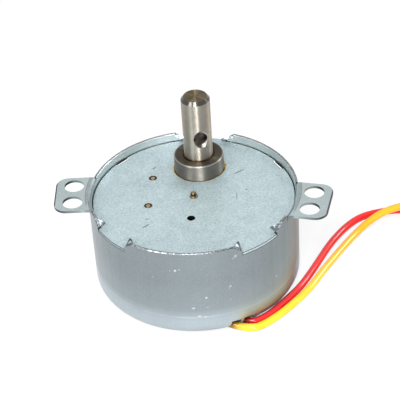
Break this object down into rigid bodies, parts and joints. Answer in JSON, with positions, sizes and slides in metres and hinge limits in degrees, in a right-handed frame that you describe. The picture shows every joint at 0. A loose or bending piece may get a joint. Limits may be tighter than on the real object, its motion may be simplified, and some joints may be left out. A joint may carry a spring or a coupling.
{
  "type": "synchronous gear motor",
  "caption": "Small geared synchronous motor in a drawn steel cup, with bent mounting ears, an off-centre output shaft with a cross hole, and coloured leads.",
  "frame": {"origin": "middle of the cup's flat bottom", "axes": "+Z along the rotor and the output shaft, +X along the ears, +Y from the rotor towards the shaft"},
  "size_m": [0.1104, 0.0775, 0.0429],
  "materials": {
    "cup_steel": "satin zinc-plated drawn sheet steel",
    "cover_steel": "pale zinc-plated sheet steel",
    "bush_steel": "turned steel, oiled",
    "shaft_steel": "ground and polished steel",
    "pin_brass": "turned brass",
    "wheel_brass": "cut brass",
    "washer_steel": "stamped steel",
    "gear_plastic": "moulded acetal",
    "plate_steel": "stamped soft steel",
    "bobbin_plastic": "moulded nylon",
    "winding_copper": "enamelled copper wire",
    "tape_film": "polyester film tape",
    "magnet_ferrite": "sintered ferrite",
    "grommet_rubber": "moulded rubber",
    "lead_yellow": "PVC insulation",
    "lead_red": "PVC insulation",
    "tie_plastic": "moulded nylon",
    "tip_tin": "tinned stranded copper"
  },
  "bodies": {
    "motor_body": {"housing_cup": "cup_steel", "cover_plate": "cover_steel", "output_bush": "bush_steel", "thrust_washer": "washer_steel", "gear_arbors": "pin_brass", "arbor_washers": "washer_steel", "rotor_pin": "pin_brass", "gear_plate": "plate_steel", "upper_pole_ring": "plate_steel", "lower_pole_plate": "plate_steel", "coil_bobbin": "bobbin_plastic", "coil_winding": "winding_copper", "coil_tape": "tape_film", "rotor_washer": "washer_steel", "lead_grommet": "grommet_rubber", "yellow_lead": "lead_yellow", "yellow_lead_coil": "lead_yellow", "yellow_coil_tie": "tie_plastic", "yellow_lead_tip": "tip_tin", "red_lead": "lead_red", "red_lead_coil": "lead_red", "red_coil_tie": "tie_plastic", "red_lead_tip": "tip_tin"},
    "output": {"output_shaft": "shaft_steel", "output_wheel": "wheel_brass"},
    "first_gear": {"first_cluster": "gear_plastic"},
    "second_gear": {"second_cluster": "gear_plastic"},
    "rotor": {"rotor_hub": "gear_plastic", "rotor_magnet": "magnet_ferrite"}
  },
  "joints": [
    {"name": "rotor_spin", "type": "hinge", "parent": "motor_body", "child": "rotor", "pos_m": [0, 0, 0], "axis": [0, 0, 1], "continuous": true},
    {"name": "first_gear_spin", "type": "hinge", "parent": "motor_body", "child": "first_gear", "pos_m": [-0.0104, -0.00416, 0], "axis": [0, 0, 1], "continuous": true},
    {"name": "second_gear_spin", "type": "hinge", "parent": "motor_body", "child": "second_gear", "pos_m": [-0.01083, 0.00703, 0], "axis": [0, 0, 1], "continuous": true},
    {"name": "output_spin", "type": "hinge", "parent": "motor_body", "child": "output", "pos_m": [0, 0.0122, 0], "axis": [0, 0, 1], "continuous": true}
  ],
  "couplings": [
    {"joint": "first_gear_spin", "follows": "rotor_spin", "ratio": -0.4},
    {"joint": "second_gear_spin", "follows": "rotor_spin", "ratio": 0.16},
    {"joint": "output_spin", "follows": "rotor_spin", "ratio": -0.059429}
  ]
}
